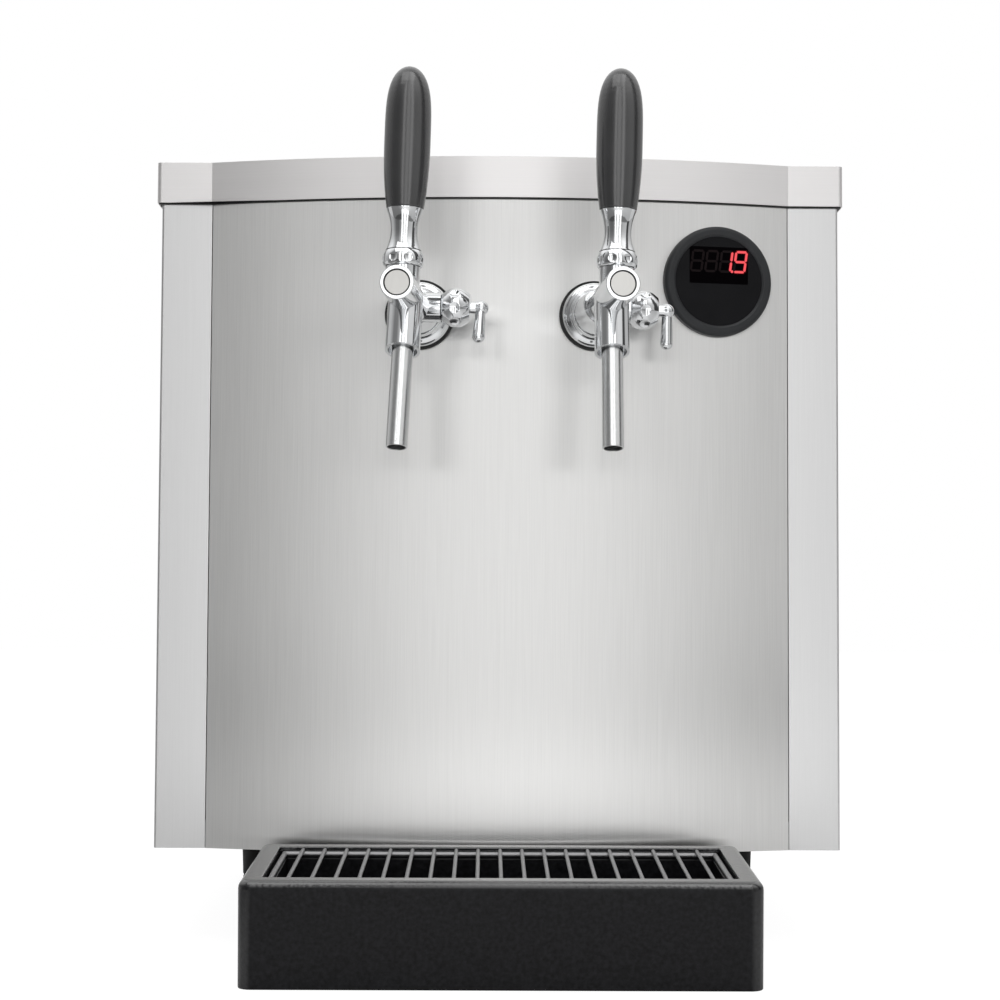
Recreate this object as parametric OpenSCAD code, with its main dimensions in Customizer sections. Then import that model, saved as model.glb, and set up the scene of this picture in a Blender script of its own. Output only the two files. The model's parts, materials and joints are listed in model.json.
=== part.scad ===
// Counter-top draft beer cooler with a bowed steel front, a pair of
// compensator taps, a round digital thermometer and a loose drip tray.
// Frame: +Z up, the front faces -Y, origin on the counter under the middle.

/* [Cabinet] */
// Width over the two side panels
cab_w = 444; // [420:1:480]
// Depth from the flat corner strips to the rear panel
cab_d = 440; // [430:1:500]
// Height of the steel front that shows under the lid
cab_h = 420; // [410:1:460]
// Width of each flat corner strip
strip_w = 33; // [26:1:40]
// How far the front panel bows forward of the corner strips
bow = 25; // [15:1:32]
// Thickness of the steel sheet
sheet_t = 1.2; // [0.8:0.1:2]
// Open joint between two neighbouring sheets
seam_gap = 0.6; // [0.3:0.1:0.8]

/* [Lid] */
// Height of the lid's turned-down rim
lid_h = 26.5; // [24:0.5:36]
// Overhang of the lid past the cabinet
lid_over = 3; // [2.4:0.2:5]
// How far the black lid seal shows under the rim
seal_show = 0.8; // [0.4:0.1:1.5]

/* [Feet] */
// Height of the cabinet's lower edge above the counter
foot_h = 62; // [50:1:80]
// Largest radius of a foot
foot_r = 23; // [18:1:28]
// Sideways distance between the feet
foot_span = 291; // [286:1:300]
// Setback of the front feet from the corner strips
foot_front = 34; // [30:1:60]
// Setback of the rear feet from the rear panel
foot_rear = 92; // [82:1:110]

/* [Taps] */
// Distance between the two shank axes along the front
tap_span = 112; // [100:0.5:130]
// Sideways offset of the pair of taps from the middle
tap_offset = 4.5; // [-8:0.5:8]
// Height of the shank axes above the cabinet's lower edge
tap_rise = 343.7; // [330:0.1:355]
// Outside radius of the rubber gasket behind a flange
gasket_r = 22.5; // [22:0.5:27]
// Outside radius of the threaded shank
shank_r = 11.4; // [10:0.1:13]
// Distance of the handle axis from the panel
handle_out = 90.5; // [86:0.5:100]
// Radius of the tap's barrel
barrel_r = 10.5; // [10.2:0.1:12]
// Forward lean of the spout from the vertical
spout_lean = 11; // [6:1:16]
// Outside radius of the spout tube
spout_r = 6.5; // [5.8:0.05:6.8]
// Turn of each tap about its shank, as hand-tightened
tap_lean = 1.4; // [-3:0.1:3]
// Upward tilt of each tap from its shank
tap_tilt = 1.7; // [0:0.1:2]
// Outward turn of each tap from its shank
tap_splay = 1; // [0:0.1:1.2]
// Length of the spout tube
spout_len = 77; // [60:1:95]

/* [Handles] */
// Length of the black grip
grip_len = 87.5; // [70:0.5:110]
// Largest radius of the grip
grip_r = 14; // [12:0.2:16]
// Radius of the grip where it meets the ferrule
grip_base_r = 11.2; // [10.4:0.1:12]
// Length of the chrome ferrule under the grip
ferrule_len = 24.8; // [18:0.2:30]
// Radius of the ferrule's waist
waist_r = 8.2; // [7:0.1:9.4]

/* [Compensators] */
// Distance of the compensator axis from the panel
comp_out = 32; // [31:0.5:36]
// Largest radius of the dimpled bonnet
bonnet_r = 12.6; // [11:0.1:13.5]
// Length of the lever below its axis
lever_len = 21; // [16:0.5:23]
// Forward turn of the left compensator's lever from straight down
left_turn = 22; // [0:1:30]

/* [Thermometer] */
// Sideways place of the thermometer along the front
meter_x = 141; // [136:0.5:146]
// Height of the thermometer above the cabinet's lower edge
meter_rise = 368; // [340:1:376]
// Outside radius of the bezel
bezel_r = 36; // [33:0.5:38]
// Radius of the dark lens
lens_r = 29; // [26:0.5:31]
// How far the bezel stands out from the panel
bezel_out = 6; // [4:0.5:9]

/* [Drip tray] */
// Width of the tray
tray_w = 301; // [260:1:330]
// Depth of the tray
tray_d = 130; // [115:1:150]
// Sideways offset of the tray from the middle
tray_offset = 1.5; // [-6:0.5:6]
// Height of the tray's front edge above the counter
tray_h = 62; // [50:1:75]
// Slope of the tray's rim, which rises to the rear
tray_slope = 3; // [0:0.5:4]
// Width of the flat rim round the grid
rim_w = 13; // [11:0.5:18]
// Radius of the tray's two front corners
tray_corner = 8; // [8:0.5:12]
// Radius of the tray's two rear corners
rear_corner = 6; // [5.5:0.5:10]
// Wall thickness of the tray
tray_wall = 3.2; // [2.4:0.2:5]
// Number of wires across the grid
wire_count = 19; // [12:1:22]
// Radius of one grid wire
wire_r = 1.2; // [1:0.1:1.8]

/* [Hidden] */
$fn = 96;
bow_fn = 720;
fit = 0.3;
eps = 0.01;

// Derived places
inlet_out = 18;
tray_gap = 0.5;
tray_edge = 5;
tray_lead = (tray_h - tray_edge) * sin(tray_slope) + tray_edge * (1 - cos(tray_slope));
front_reach = bow + tray_gap + tray_d + tray_lead;
front_y = (front_reach - cab_d - inlet_out) / 2;
back_y = front_y + cab_d;
half_w = cab_w / 2;
panel_half = half_w - strip_w;
bow_r = (panel_half * panel_half + bow * bow) / (2 * bow);
bow_y = front_y - bow + bow_r;
lid_z = foot_h + cab_h;
wall_lap = lid_h - 10;
seal_h = 5;
flange_h = 18;
return_z = foot_h + flange_h + 2;
return_d = 12;
pan_t = 1.5;
pan_top = foot_h + pan_t;
tap_z = foot_h + tap_rise;
meter_z = foot_h + meter_rise;
tap_xs = [tap_offset - tap_span / 2, tap_offset + tap_span / 2];
foot_xs = [-foot_span / 2, foot_span / 2];
foot_ys = [front_y + foot_front, back_y - foot_rear];

// Foot sizes
pad_h = 5;
pad_r = foot_r - 4;
press_gap = 0.05;
stud_r = 4;
stud_up = 8;
foot_nut_r = 7.5;
foot_nut_h = 6;

// Tap sizes, measured outward from the panel unless said otherwise
gasket_t = 3;
flange_r = gasket_r - 1.6;
flange_t = 6;
step_r = flange_r - 5.2;
step_out = gasket_t + flange_t + 4;
seat_gap = 0.8;
shank_in = 42;
shank_bore = 5;
hole_play = 0.6;
shank_nut_r = 17;
shank_nut_t = 8;
cone_r = 14.4;
cone_out = step_out + 26;
chamber_from = 44;
chamber_to = 62;
chamber_r = 7;
seat_out = 66;
seat_r = 4.5;
bore_r = 6.7;
bore_end = handle_out + 18;
cap_r = 10.3;
cap_out = handle_out + 25;
plug_r = 8.1;
plug_t = 3;
plug_groove = 0.9;
boss_top = 13.6;
thread_r = 9;
thread_top = boss_top + 6.4;
pivot_up = 16;
pin_r = 1.5;
ball_r = 13;
collar_r = 12.4;
collar_low = boss_top + fit;
collar_high = 8.2;
collar_top = pivot_up + collar_high;
collar_edge = 6.2;
collar_edge_r = sqrt(ball_r * ball_r - collar_edge * collar_edge);
dome_from = asin(collar_edge / ball_r);
dome_to = 50;
dome_top = ball_r * sin(dome_to);
stem_r = 2.5;
stem_slot = stem_r + 0.4;
slot_half = 7.2;
tail_len = 13;
hub_r = 5;
hub_w = 6;
pull_angle = 25;
spout_root = handle_out - 18;
holder_r = 10.6;
holder_len = 36;
holder_sink = 2.4;
holder_cut = 10;
spout_grip = 16;
spout_bore = spout_r - 1;
duct_r = 4;

// Plunger sizes, measured outward from the panel
tail_play = 0.7;
gap_low = handle_out - stem_r - tail_play;
gap_high = handle_out + stem_r + tail_play;
plunger_r = bore_r - 0.2;
drive_r = 5.8;
drive_t = 2.3;
neck_r = 2;
head_from = 56.4;
head_to = 61.7;
head_mid = (head_from + head_to) / 2;
head_r = 4.6;
seal_r = 1.1;

// Compensator sizes, measured sideways from the tap's axis
side_r = 9.4;
side_end = 17.4;
bonnet_end = 35.5;
spindle_r = 3;
spindle_in = 5.5;
knuckle_r = 4.6;
knuckle_end = 47;
lever_x = 42;
lever_root_r = 3;
lever_tip_r = 3.9;

// Thermometer sizes
meter_body_r = bezel_r - 10;
meter_body_in = 32;
meter_nut_r = meter_body_r + 5;
meter_nut_t = 7;
lens_set = 1.2;

// Rear fittings
inlet_x = 62;
inlet_z = lid_z - 76;
inlet_r = 9;
inlet_stem_r = 4.76;
inlet_bore = 3.2;
inlet_nut_r = 13;
inlet_nut_t = 6;
mains_x = 150;
mains_z = lid_z - 70;
mains_w = 27;
mains_h = 22;
mains_in = 24;
switch_x = 110;
switch_w = 19;
switch_h = 27;
switch_in = 20;
rocker_w = 13;
rocker_h = 20;
rocker_angle = 9;
frame_t = 2;

// Drip tray sizes
tray_front = front_y - bow - tray_gap - tray_d;
tray_floor = 4;
well_corner = 3;
frame_r = 1.7;
ledge_drop = 2 * wire_r + 2 * frame_r + 0.4;
ledge_w = 5;
wire_margin = 11.8;
grid_w = tray_w - 2 * rim_w - 2;
grid_d = tray_d - 2 * rim_w - 2;

// Cooling machinery
jacket_w = 260;
jacket_d = 190;
jacket_h = 268;
jacket_wall = 25;
jacket_y = front_y + 22;
jacket_top = pan_top + jacket_h;
block_top = jacket_top - jacket_wall;
line_r = 4.75;
line_bend = 18;
line_drop_in = 76;
inlet_drop_y = jacket_y + jacket_d - jacket_wall - 22;
comp_r = 62;
comp_h = 150;
comp_x = -112;
comp_back = 118;
comp_y = back_y - comp_back;
side_vent_back = 150;
side_vent_up = 120;
rear_vent_up = 110;
comp_plate_w = 150;
comp_plate_d = 120;
comp_plate_t = 4;
comp_bolt_w = 126;
comp_bolt_d = 96;
comp_box_t = 18;
comp_box_w = 48;
comp_box_h = 44;
comp_box_z = 40;
grommet_h = 10;
grommet_r = 8;
comp_base = pan_top + grommet_h;
coil_x = 96;
coil_w = 196;
coil_h = 196;
coil_t = 44;
coil_y = back_y - 18 - coil_t;
coil_z = pan_top + coil_h / 2;
fin_count = 22;
fin_t = 1;
tube_r = 4;
tube_rows = 5;
shroud_t = 2;
fan_hole = 84;
duct_len = 16;
motor_r = 26;
motor_len = 30;
motor_gap = 5;
hub_len = 18;
fan_hub_r = 22;
blade_count = 5;
blade_len = fan_hole - fan_hub_r - 4;
blade_w = 30;
blade_t = 2;
blade_pitch = 32;
pipe_r = 3.2;
pipe_bend = 14;
drier_r = 10;
drier_len = 70;

// Points on an arc, for profiles
function arc_points(centre, radius, from, to, steps) =
  [for (i = [0:steps])
    let (a = from + (to - from) * i / steps)
    [centre[0] + radius * cos(a), centre[1] + radius * sin(a)]];

// Radius of the grip at a share u of its length
grip_widest = 0.45;
function grip_radius(u) =
  u < grip_widest
    ? grip_r - (grip_r - grip_base_r) * pow(1 - u / grip_widest, 2.2)
    : grip_r * sqrt(max(0, 1 - pow((u - grip_widest) / (1 - grip_widest), 4.2)));

// Radius of the ferrule at a share u of its length
ferrule_waist = 0.46;
ferrule_low_r = 10.9;
function ferrule_radius(u) =
  u < ferrule_waist
    ? waist_r + (ferrule_low_r - waist_r) * pow(1 - u / ferrule_waist, 2)
    : waist_r + (grip_base_r - waist_r) * pow((u - ferrule_waist) / (1 - ferrule_waist), 2);

// Plan of the cabinet, grown outward by a given amount
module plan(grow) {
  translate([-half_w - grow, front_y - grow])
    square([cab_w + 2 * grow, cab_d + 2 * grow]);
  intersection() {
    translate([0, bow_y]) circle(r = bow_r + grow, $fn = bow_fn);
    translate([-panel_half, front_y - bow - grow - 1])
      square([2 * panel_half, bow + 20]);
  }
}

// A place on the bowed front: -Y points out of the panel there
module on_front(x, z) {
  translate([0, bow_y, z])
    rotate([0, 0, asin(x / bow_r)])
      translate([0, -bow_r, 0])
        children();
}

// Turns a shape that grows along +Z so that it grows out of the panel
module outward() {
  rotate([90, 0, 0]) children();
}

// A tube or rod from one distance outward to another
module rod(from, to, radius) {
  outward() translate([0, 0, from]) cylinder(h = to - from, r = radius);
}

// Cuts a piece's back so that it follows the bowed front
module seated_on_front(gap) {
  difference() {
    children();
    translate([0, bow_r, 0]) cylinder(r = bow_r + gap, h = 4 * bezel_r, center = true, $fn = bow_fn);
  }
}

// A round pipe through points that turn only at right angles
module pipe(points, radius, bend) {
  last = len(points) - 1;
  for (i = [0:last - 1]) {
    way = points[i + 1] - points[i];
    step = way / norm(way);
    start = points[i] + (i > 0 ? bend : 0) * step;
    length = norm(way) - (i > 0 ? bend : 0) - (i < last - 1 ? bend : 0);
    translate(start) turned_to(step) cylinder(h = length, r = radius);
  }
  for (i = [1:last - 1]) {
    before = (points[i] - points[i - 1]) / norm(points[i] - points[i - 1]);
    after = (points[i + 1] - points[i]) / norm(points[i + 1] - points[i]);
    side = cross(before, after);
    middle = points[i] + bend * (after - before);
    multmatrix([
      [-after[0], before[0], side[0], middle[0]],
      [-after[1], before[1], side[1], middle[1]],
      [-after[2], before[2], side[2], middle[2]],
      [0, 0, 0, 1]
    ])
      rotate_extrude(angle = 90) translate([bend, 0]) circle(r = radius);
  }
}

// Turns +Z to a direction that lies along an axis
module turned_to(d) {
  rotate([0, acos(d[2]), atan2(d[1], d[0])]) children();
}

// A rectangle with round corners, centred
module round_rectangle(w, d, r) {
  square([w - 2 * r, d], center = true);
  square([w, d - 2 * r], center = true);
  for (x = [-1, 1], y = [-1, 1])
    translate([x * (w / 2 - r), y * (d / 2 - r)]) circle(r = r);
}

// A rectangle whose front and rear corners have their own radii, centred
module tray_plan(w, d, front, rear) {
  intersection() {
    round_rectangle(w, d, rear);
    translate([-w / 2 - 1, -d / 2 + front]) square([w + 2, d]);
  }
  translate([-w / 2, -d / 2 + front]) square([w, d / 2 - front]);
  translate([-w / 2 + front, -d / 2]) square([w - 2 * front, front + 1]);
  for (x = [-1, 1]) translate([x * (w / 2 - front), -d / 2 + front]) circle(r = front);
}

// What a rounded edge takes away, with the face at x = 0 and the top at y = 0
module edge_waste(edge) {
  polygon(concat(
    [[-1, 1], [-1, -edge]],
    arc_points([edge, -edge], edge, 180, 90, 6),
    [[edge, 1]]
  ));
}

// A block with round upright corners and a rounded top edge
module soft_top_block(w, d, h, front, rear, edge) {
  difference() {
    linear_extrude(h) tray_plan(w, d, front, rear);
    for (side = [0, 1])
      mirror([side, 0, 0]) {
        translate([-w / 2, d / 2 + 1, h]) rotate([90, 0, 0]) linear_extrude(d + 2) edge_waste(edge);
        translate([w / 2 - front, -d / 2 + front, h])
          rotate([0, 0, -90]) rotate_extrude(angle = 90)
            translate([front, 0]) mirror([1, 0]) edge_waste(edge);
        translate([w / 2 - rear, d / 2 - rear, h])
          rotate_extrude(angle = 90)
            translate([rear, 0]) mirror([1, 0]) edge_waste(edge);
      }
    translate([-w / 2 - 1, -d / 2, h]) rotate([90, 0, 90]) linear_extrude(w + 2) edge_waste(edge);
    translate([w / 2 + 1, d / 2, h]) rotate([90, 0, -90]) linear_extrude(w + 2) edge_waste(edge);
  }
}

// Rows of slots with round ends, centred, cut along +Z
slot_w = 46;
slot_gap = 9;
slot_r = 1.8;
module slot_field(columns, rows, depth) {
  for (c = [0:columns - 1], r = [0:rows - 1])
    translate([
      (c - (columns - 1) / 2) * (slot_w + slot_gap),
      (r - (rows - 1) / 2) * slot_gap, 0
    ])
      linear_extrude(depth, center = true)
        round_rectangle(slot_w, 2 * slot_r, slot_r - eps);
}

// Places of the screws that hold the rear panel, as [x, z]
screw_r = 1.9;
screw_head_r = 3.8;
screw_head_t = 2;
screw_len = 6;
lip_w = 16;
screw_side = half_w - sheet_t - lip_w / 2;
rear_screw_zs = [foot_h + 40, foot_h + cab_h / 2, lid_z - 40];
rear_screws = [for (x = [-screw_side, screw_side], z = rear_screw_zs) [x, z]];
lid_screw_ys = [front_y + 60, back_y - 60];
lid_screw_z = lid_z + wall_lap / 2;

// Cabinet sheets

module base_pan() {
  grow = -sheet_t - fit;
  color("darkgray")
    difference() {
      union() {
        translate([0, 0, foot_h]) linear_extrude(pan_t) plan(grow);
        translate([0, 0, foot_h]) linear_extrude(flange_h)
          difference() {
            plan(grow);
            plan(grow - pan_t);
          }
      }
      for (x = foot_xs, y = foot_ys)
        translate([x, y, foot_h - 1]) cylinder(h = pan_t + 2, r = stud_r + fit);
    }
}

module feet() {
  color([0.04, 0.04, 0.045])
    for (x = foot_xs, y = foot_ys)
      translate([x, y, 0]) {
        difference() {
          translate([0, 0, pad_h]) cylinder(h = foot_h - pad_h, r1 = foot_r - 2, r2 = foot_r);
          for (z = [foot_h / 3, foot_h * 2 / 3])
            translate([0, 0, z])
              rotate_extrude() translate([foot_r + 0.4, 0]) circle(r = 1.6);
        }
        cylinder(h = foot_h + stud_up, r = stud_r);
      }
}

module foot_pads() {
  color([0.02, 0.02, 0.02])
    for (x = foot_xs, y = foot_ys)
      translate([x, y, 0])
        difference() {
          cylinder(h = pad_h, r1 = pad_r - 1, r2 = pad_r);
          translate([0, 0, -1]) cylinder(h = pad_h + 2, r = stud_r + press_gap);
        }
}

module foot_nuts() {
  color("silver")
    for (x = foot_xs, y = foot_ys)
      translate([x, y, pan_top])
        difference() {
          cylinder(h = foot_nut_h, r = foot_nut_r, $fn = 6);
          translate([0, 0, -1]) cylinder(h = foot_nut_h + 2, r = stud_r + press_gap);
        }
}

module front_panel() {
  edge = panel_half - seam_gap;
  color([0.75, 0.75, 0.73])
    difference() {
      union() {
        translate([0, 0, foot_h]) linear_extrude(cab_h + wall_lap)
          intersection() {
            difference() {
              translate([0, bow_y]) circle(r = bow_r, $fn = bow_fn);
              translate([0, bow_y]) circle(r = bow_r - sheet_t, $fn = bow_fn);
            }
            translate([-edge, front_y - bow - 1]) square([2 * edge, bow + 3]);
          }
        translate([0, 0, return_z]) linear_extrude(lid_z + wall_lap - return_z)
          for (side = [0, 1])
            mirror([side, 0]) translate([edge - sheet_t, front_y + 0.5]) square([sheet_t, return_d]);
      }
      for (x = tap_xs)
        on_front(x, tap_z) rod(-10, 10, shank_r + hole_play);
      on_front(meter_x, meter_z) rod(-10, 10, meter_body_r + hole_play);
    }
}

module side_panel() {
  top = lid_z + wall_lap;
  color([0.84, 0.84, 0.83])
    difference() {
      union() {
        translate([half_w - sheet_t, front_y, foot_h])
          cube([sheet_t, cab_d, top - foot_h]);
        translate([panel_half, front_y, foot_h])
          cube([strip_w, sheet_t, top - foot_h]);
        translate([panel_half, front_y, return_z])
          cube([sheet_t, return_d, top - return_z]);
        translate([half_w - sheet_t - lip_w, back_y - 2 * sheet_t, return_z])
          cube([lip_w + eps, sheet_t, top - return_z]);
      }
      translate([half_w, back_y - side_vent_back, foot_h + side_vent_up]) rotate([90, 0, 90]) slot_field(3, 14, 8);
      for (y = lid_screw_ys)
        translate([half_w, y, lid_screw_z]) rotate([0, 90, 0])
          cylinder(h = 6, r = screw_r + 0.1, center = true);
      for (s = rear_screws)
        if (s[0] > 0)
          translate([s[0], back_y, s[1]]) rotate([90, 0, 0])
            cylinder(h = 4 * sheet_t, r = screw_r + 0.1, center = true);
    }
}

module side_panel_right() {
  side_panel();
}

module side_panel_left() {
  mirror([1, 0, 0]) side_panel();
}

module rear_panel() {
  w = cab_w - 2 * sheet_t - 2 * fit;
  color([0.7, 0.7, 0.69])
    difference() {
      translate([-w / 2, back_y - sheet_t, foot_h]) cube([w, sheet_t, cab_h + wall_lap]);
      translate([coil_x, back_y, coil_z + 6]) rotate([90, 0, 0]) slot_field(3, 18, 8);
      translate([comp_x, back_y, foot_h + rear_vent_up]) rotate([90, 0, 0]) slot_field(2, 10, 8);
      for (x = [-inlet_x, inlet_x])
        translate([x, back_y, inlet_z]) rotate([90, 0, 0])
          cylinder(h = 8, r = inlet_r + fit, center = true);
      translate([mains_x, back_y, mains_z]) cube([mains_w + 0.6, 8, mains_h + 0.6], center = true);
      translate([switch_x, back_y, mains_z]) cube([switch_w + 0.6, 8, switch_h + 0.6], center = true);
      for (s = rear_screws)
        translate([s[0], back_y, s[1]]) rotate([90, 0, 0])
          cylinder(h = 8, r = screw_r + 0.1, center = true);
    }
}

module lid() {
  color([0.8, 0.79, 0.78])
    translate([0, 0, lid_z])
      difference() {
        linear_extrude(lid_h) plan(lid_over);
        translate([0, 0, -1]) linear_extrude(lid_h - sheet_t + 1) plan(lid_over - sheet_t);
        for (y = lid_screw_ys)
          translate([0, y, lid_screw_z - lid_z]) rotate([0, 90, 0])
            cylinder(h = cab_w + 20, r = screw_r + 0.1, center = true);
      }
}

// Black strip between the lid's rim and the cabinet's sheets
module lid_seal() {
  color([0.03, 0.03, 0.03])
    translate([0, 0, lid_z - seal_show]) linear_extrude(seal_h + seal_show)
      difference() {
        plan(lid_over - sheet_t - press_gap);
        plan(press_gap);
      }
}

// One pan-head screw: the head stands out along +Z
module screw(length) {
  translate([0, 0, -length]) cylinder(h = length, r = screw_r);
  intersection() {
    cylinder(h = screw_head_t, r = screw_head_r);
    translate([0, 0, screw_head_t - 6]) sphere(r = 6);
  }
}

module cabinet_screws() {
  color("silver") {
    for (s = rear_screws)
      translate([s[0], back_y, s[1]]) rotate([-90, 0, 0]) screw(screw_len);
    for (side = [-1, 1], y = lid_screw_ys)
      translate([side * (half_w + lid_over), y, lid_screw_z]) rotate([0, side * 90, 0]) screw(screw_len);
  }
}

// Cooling machinery inside

module compressor() {
  color([0.06, 0.06, 0.065])
    translate([comp_x, comp_y, comp_base])
      difference() {
        union() {
          translate([-comp_plate_w / 2, -comp_plate_d / 2, 0])
            cube([comp_plate_w, comp_plate_d, comp_plate_t]);
          cylinder(h = comp_h - comp_r / 2, r = comp_r);
          translate([0, 0, comp_h - comp_r / 2]) intersection() {
            scale(1) sphere(r = comp_r);
            cylinder(h = comp_r / 2, r = comp_r);
          }
          translate([0, 0, comp_h * 0.45]) cylinder(h = 5, r = comp_r + 3);
          translate([comp_r - 6, -comp_box_w / 2, comp_box_z])
            cube([comp_box_t + 6, comp_box_w, comp_box_h]);
        }
        for (x = [-1, 1], y = [-1, 1])
          translate([x * comp_bolt_w / 2, y * comp_bolt_d / 2, -1])
            cylinder(h = comp_plate_t + 2, r = grommet_r - 3);
      }
}

module compressor_grommets() {
  color([0.03, 0.03, 0.03])
    for (x = [-1, 1], y = [-1, 1])
      translate([comp_x + x * comp_bolt_w / 2, comp_y + y * comp_bolt_d / 2, pan_top]) {
        cylinder(h = grommet_h, r = grommet_r);
        cylinder(h = grommet_h + comp_plate_t, r = grommet_r - 3.2);
      }
}

module condenser() {
  pitch = (coil_w - fin_t) / (fin_count - 1);
  row = coil_h / tube_rows;
  color([0.6, 0.6, 0.62])
    translate([coil_x - coil_w / 2, coil_y, pan_top]) {
      for (i = [0:fin_count - 1])
        translate([i * pitch, 0, 0]) cube([fin_t, coil_t, coil_h]);
      for (i = [0:tube_rows - 1])
        translate([0, coil_t / 2, row * (i + 0.5)]) rotate([0, 90, 0]) cylinder(h = coil_w, r = tube_r);
    }
}

module fan_shroud() {
  color([0.3, 0.3, 0.3])
    translate([coil_x, coil_y, coil_z])
      difference() {
        union() {
          translate([-coil_w / 2, -shroud_t, -coil_h / 2]) cube([coil_w, shroud_t, coil_h]);
          rod(0, duct_len, fan_hole + shroud_t);
        }
        rod(-1, duct_len + 1, fan_hole);
      }
}

module fan_motor() {
  color([0.15, 0.15, 0.16])
    translate([coil_x, coil_y, coil_z]) {
      rod(hub_len + 2 * motor_gap, hub_len + 2 * motor_gap + motor_len, motor_r);
      rod(motor_gap + 1.5, hub_len + 2 * motor_gap, 3);
      for (a = [90, 210, 330])
        rotate([0, a, 0]) {
          translate([motor_r - 2, -hub_len - 2 * motor_gap - 14, -6])
            cube([fan_hole - motor_r + 4, 3, 12]);
          translate([fan_hole - 1, -hub_len - 2 * motor_gap - 14, -6])
            cube([3, hub_len + 2 * motor_gap + 14 - duct_len, 12]);
        }
    }
}

module fan_impeller() {
  color([0.2, 0.2, 0.22])
    translate([coil_x, coil_y, coil_z])
      difference() {
        union() {
          rod(motor_gap, motor_gap + hub_len, fan_hub_r);
          for (i = [0:blade_count - 1])
            rotate([0, i * 360 / blade_count, 0])
              translate([fan_hub_r - 3, -motor_gap - hub_len / 2, 0])
                rotate([blade_pitch, 0, 0])
                  translate([0, -blade_t / 2, -blade_w / 2]) cube([blade_len, blade_t, blade_w]);
        }
        rod(motor_gap + 1, motor_gap + hub_len + 1, 3 + 0.1);
      }
}

// Where a product line drops from behind a tap into the cold block
module line_drop(x) {
  on_front(x, tap_z) translate([0, line_drop_in, 0]) children();
}

module cold_block() {
  color([0.75, 0.76, 0.78])
    translate([-jacket_w / 2 + jacket_wall, jacket_y + jacket_wall, pan_top + jacket_wall])
      cube([jacket_w - 2 * jacket_wall, jacket_d - 2 * jacket_wall, jacket_h - 2 * jacket_wall]);
}

suction_x = -90;
liquid_x = 90;
cold_pipe_y = jacket_y + jacket_d / 2;

module cold_block_jacket() {
  color([0.88, 0.86, 0.8])
    difference() {
      translate([-jacket_w / 2, jacket_y, pan_top]) cube([jacket_w, jacket_d, jacket_h]);
      translate([-jacket_w / 2 + jacket_wall, jacket_y + jacket_wall, pan_top + jacket_wall])
        cube([jacket_w - 2 * jacket_wall, jacket_d - 2 * jacket_wall, jacket_h - 2 * jacket_wall]);
      for (x = tap_xs)
        line_drop(x) translate([0, 0, block_top - tap_z]) cylinder(h = jacket_wall + 2, r = line_r + fit);
      for (x = [-inlet_x, inlet_x])
        translate([x, inlet_drop_y, block_top]) cylinder(h = jacket_wall + 2, r = line_r + fit);
      for (x = [suction_x, liquid_x])
        translate([x, cold_pipe_y, block_top]) cylinder(h = jacket_wall + 2, r = pipe_r + fit);
    }
}

// Beer in from the rear fitting, and out of the block to the shank
module product_line(x_tap, x_inlet) {
  color([0.78, 0.79, 0.8]) {
    on_front(x_tap, tap_z)
      pipe([
        [0, line_drop_in, block_top - tap_z], [0, line_drop_in, 0], [0, shank_in, 0]
      ], line_r, line_bend);
    pipe([
      [x_inlet, back_y - sheet_t - inlet_nut_t - 4, inlet_z],
      [x_inlet, inlet_drop_y, inlet_z],
      [x_inlet, inlet_drop_y, block_top]
    ], line_r, line_bend);
  }
}

module product_line_left() {
  product_line(tap_xs[0], -inlet_x);
}

module product_line_right() {
  product_line(tap_xs[1], inlet_x);
}

// Pipe routes: suction, discharge, and liquid line through the drier
pipe_rise = 60;
pipe_top = block_top + pipe_rise;
comp_lid = comp_base + comp_h;
drier_rise = 24;
drier_z = jacket_top + drier_rise;

module refrigerant_pipes() {
  color([0.72, 0.42, 0.26]) {
    pipe([
      [suction_x, cold_pipe_y, block_top], [suction_x, cold_pipe_y, pipe_top],
      [suction_x, comp_y, pipe_top], [suction_x, comp_y, comp_lid]
    ], pipe_r, pipe_bend);
    pipe([
      [comp_x + 20, comp_y + 30, comp_lid], [comp_x + 20, comp_y + 30, comp_lid + 30],
      [comp_x + 20, coil_y + coil_t / 2, comp_lid + 30],
      [coil_x - coil_w / 2 - 10, coil_y + coil_t / 2, comp_lid + 30],
      [coil_x - coil_w / 2 - 10, coil_y + coil_t / 2, pan_top + coil_h * (tube_rows - 0.5) / tube_rows],
      [coil_x - coil_w / 2, coil_y + coil_t / 2, pan_top + coil_h * (tube_rows - 0.5) / tube_rows]
    ], pipe_r, 5);
    pipe([
      [coil_x + coil_w / 2, coil_y + coil_t / 2, pan_top + coil_h * 0.5 / tube_rows],
      [coil_x + coil_w / 2 + 9, coil_y + coil_t / 2, pan_top + coil_h * 0.5 / tube_rows],
      [coil_x + coil_w / 2 + 9, coil_y + coil_t / 2, drier_z],
      [coil_x + coil_w / 2 + 9, coil_y - 20, drier_z]
    ], pipe_r, 5);
    pipe([
      [coil_x + coil_w / 2 + 9, coil_y - 20 - drier_len, drier_z],
      [coil_x + coil_w / 2 + 9, cold_pipe_y, drier_z],
      [liquid_x, cold_pipe_y, drier_z],
      [liquid_x, cold_pipe_y, block_top]
    ], pipe_r, pipe_bend);
  }
}

module filter_drier() {
  color([0.75, 0.45, 0.3])
    translate([coil_x + coil_w / 2 + 9, coil_y - 20, drier_z]) {
      rod(6, drier_len - 6, drier_r);
      rod(0, 6, pipe_r + 1.2);
      rod(drier_len - 6, drier_len, pipe_r + 1.2);
    }
}

// Rear fittings

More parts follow.
